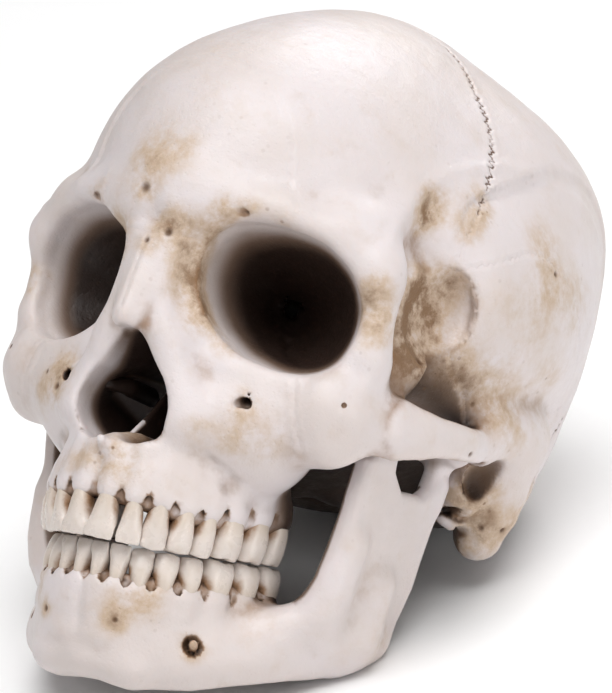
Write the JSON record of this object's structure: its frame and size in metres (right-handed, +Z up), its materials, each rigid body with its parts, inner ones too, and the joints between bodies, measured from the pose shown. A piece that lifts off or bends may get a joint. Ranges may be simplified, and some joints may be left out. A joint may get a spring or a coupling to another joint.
{
  "type": "skull statue",
  "caption": "Life-size cast human skull ornament, hollow, with separate set-in teeth and a lower jaw that swings open on steel dowels.",
  "frame": {"origin": "middle of the object's footprint box, on the table that it rests on", "axes": "+Z up, the face looks towards -Y and up, +X is the skull's own left; the skull leans back onto its jaw angles and the back of the head"},
  "size_m": [0.1406, 0.2172, 0.1613],
  "materials": {
    "bone_resin": "satin, aged bone",
    "tooth_resin": "satin, ivory",
    "dowel_steel": "bright drawn rod"
  },
  "bodies": {
    "head": {"cranium": "bone_resin", "nasal_septum": "bone_resin", "nasal_concha_left": "bone_resin", "nasal_concha_right": "bone_resin", "hinge_dowel_left": "dowel_steel", "hinge_dowel_right": "dowel_steel", "upper_left_central_incisor": "tooth_resin", "upper_left_lateral_incisor": "tooth_resin", "upper_left_canine": "tooth_resin", "upper_left_first_premolar": "tooth_resin", "upper_left_second_premolar": "tooth_resin", "upper_left_first_molar": "tooth_resin", "upper_left_second_molar": "tooth_resin", "upper_left_third_molar": "tooth_resin", "upper_right_central_incisor": "tooth_resin", "upper_right_lateral_incisor": "tooth_resin", "upper_right_canine": "tooth_resin", "upper_right_first_premolar": "tooth_resin", "upper_right_second_premolar": "tooth_resin", "upper_right_first_molar": "tooth_resin", "upper_right_second_molar": "tooth_resin", "upper_right_third_molar": "tooth_resin"},
    "jaw": {"mandible": "bone_resin", "lower_left_central_incisor": "tooth_resin", "lower_left_lateral_incisor": "tooth_resin", "lower_left_canine": "tooth_resin", "lower_left_first_premolar": "tooth_resin", "lower_left_second_premolar": "tooth_resin", "lower_left_first_molar": "tooth_resin", "lower_left_second_molar": "tooth_resin", "lower_left_third_molar": "tooth_resin", "lower_right_central_incisor": "tooth_resin", "lower_right_lateral_incisor": "tooth_resin", "lower_right_canine": "tooth_resin", "lower_right_first_premolar": "tooth_resin", "lower_right_second_premolar": "tooth_resin", "lower_right_first_molar": "tooth_resin", "lower_right_second_molar": "tooth_resin", "lower_right_third_molar": "tooth_resin"}
  },
  "joints": [
    {"name": "jaw_hinge", "type": "hinge", "parent": "head", "child": "jaw", "pos_m": [0, -0.00188, 0.04741], "axis": [1, 0, 0], "range_deg": [0, 20]}
  ]
}
